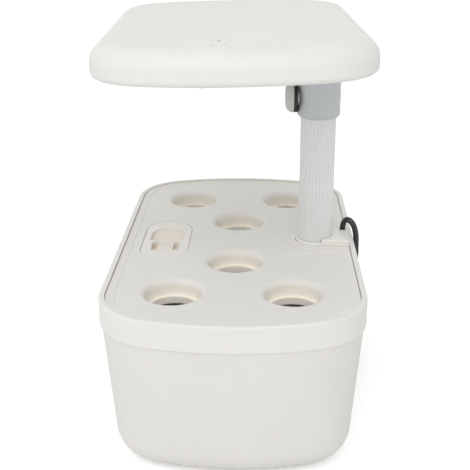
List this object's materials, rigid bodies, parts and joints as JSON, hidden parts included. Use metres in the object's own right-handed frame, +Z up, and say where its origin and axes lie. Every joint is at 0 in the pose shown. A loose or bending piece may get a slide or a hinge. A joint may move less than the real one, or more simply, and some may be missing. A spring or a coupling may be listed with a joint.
{
  "type": "countertop hydroponic garden",
  "caption": "Long rounded water tank with a lift-off deck of round pod wells and a flat rounded grow lamp on a telescoping side mast with a clamp knob and a power cord.",
  "frame": {"origin": "on the surface that the garden stands on, under the middle of the tank", "axes": "+X towards the mast's side, +Y along the tank away from the viewer, +Z up"},
  "size_m": [0.212, 0.4235, 0.3208],
  "materials": {
    "white_body": "satin",
    "rim_white": "satin",
    "deck_grey": "satin",
    "lid_grey": "satin",
    "cap_grey": "satin",
    "lamp_white": "satin",
    "lamp_base_white": "satin",
    "diffuser": "frosted",
    "tube_aluminium": "fine ribbed, satin",
    "collar_silver": "satin paint",
    "inner_aluminium": "satin",
    "knob_grey": "satin",
    "knob_black": "matte",
    "screw_steel": "bright",
    "brass_insert": "turned",
    "bush_grey": "matte",
    "column_white": "matte",
    "foot_rubber": "matte",
    "board_green": "satin",
    "board_white": "satin",
    "chip_yellow": "satin",
    "parts_black": "matte",
    "pump_black": "matte",
    "rotor_grey": "matte",
    "cord_black": "glossy",
    "tie_black": "matte",
    "adapter_black": "fine texture",
    "blade_brass": "plated",
    "button_grey": "satin",
    "lens_clear": "clear"
  },
  "bodies": {
    "base": {"tank": "white_body", "tank_feet": "foot_rubber", "rim_frame": "rim_white", "mast_column": "column_white", "mast_cap": "cap_grey", "cap_screws": "screw_steel", "cord_grommet": "cord_black", "outer_tube": "tube_aluminium", "slide_bush": "bush_grey", "collar": "collar_silver", "clamp_nut": "brass_insert", "clamp_pad": "bush_grey", "control_board": "board_green", "control_parts": "parts_black", "pump_body": "pump_black", "pump_nozzle": "pump_black", "pump_cover": "pump_black", "pump_screen": "pump_black", "pump_feet": "foot_rubber", "pump_lead": "cord_black", "power_cord": "cord_black", "cord_coil": "cord_black", "cord_tie": "tie_black", "adapter_relief": "adapter_black", "power_adapter": "adapter_black", "adapter_blades": "blade_brass"},
    "deck": {"deck": "deck_grey"},
    "refill_lid": {"refill_lid": "lid_grey"},
    "mast": {"inner_tube": "inner_aluminium", "guide_plug": "bush_grey", "stop_ring": "bush_grey", "swivel_washer": "bush_grey", "retaining_ring": "screw_steel", "tube_cap": "bush_grey", "lamp_lead": "cord_black"},
    "lamp_head": {"lamp_hub": "lamp_base_white", "hub_screws": "screw_steel", "lamp_top_shell": "lamp_white", "lamp_base": "lamp_base_white", "lamp_screws": "screw_steel", "diffuser": "diffuser", "led_board": "board_white", "led_chips": "chip_yellow", "driver_board": "board_green", "driver_parts": "parts_black", "button_board": "board_green", "button_switch": "parts_black", "indicator_lens": "lens_clear"},
    "power_button": {"power_button": "button_grey"},
    "clamp_knob": {"clamp_screw": "screw_steel", "knob_ring": "knob_black", "knob_cap": "knob_grey"},
    "pump_rotor": {"pump_rotor": "rotor_grey"}
  },
  "joints": [
    {"name": "deck_lift", "type": "slide", "parent": "base", "child": "deck", "axis": [0, 0, 1], "range_m": [0, 0.095]},
    {"name": "lid_lift", "type": "slide", "parent": "deck", "child": "refill_lid", "axis": [0, 0, 1], "range_m": [0, 0.03]},
    {"name": "mast_slide", "type": "slide", "parent": "base", "child": "mast", "axis": [0, 0, 1], "range_m": [0, 0.11], "deforming": ["lamp_lead"]},
    {"name": "head_swivel", "type": "hinge", "parent": "mast", "child": "lamp_head", "pos_m": [0.067, 0, 0.2861], "axis": [0, 0, 1], "range_deg": [-90, 90]},
    {"name": "knob_turn", "type": "hinge", "parent": "base", "child": "clamp_knob", "pos_m": [0.048, 0, 0.2576], "axis": [-1, 0, 0], "range_deg": [0, 360]},
    {"name": "rotor_spin", "type": "hinge", "parent": "base", "child": "pump_rotor", "pos_m": [0.017, -0.01, 0.0232], "axis": [0, 1, 0], "continuous": true},
    {"name": "button_press", "type": "slide", "parent": "lamp_head", "child": "power_button", "axis": [0.0148, 0.0006, -0.9999], "range_m": [0, 0.0006], "stiffness_N_per_m": 1500, "springref_m": -0.001}
  ]
}
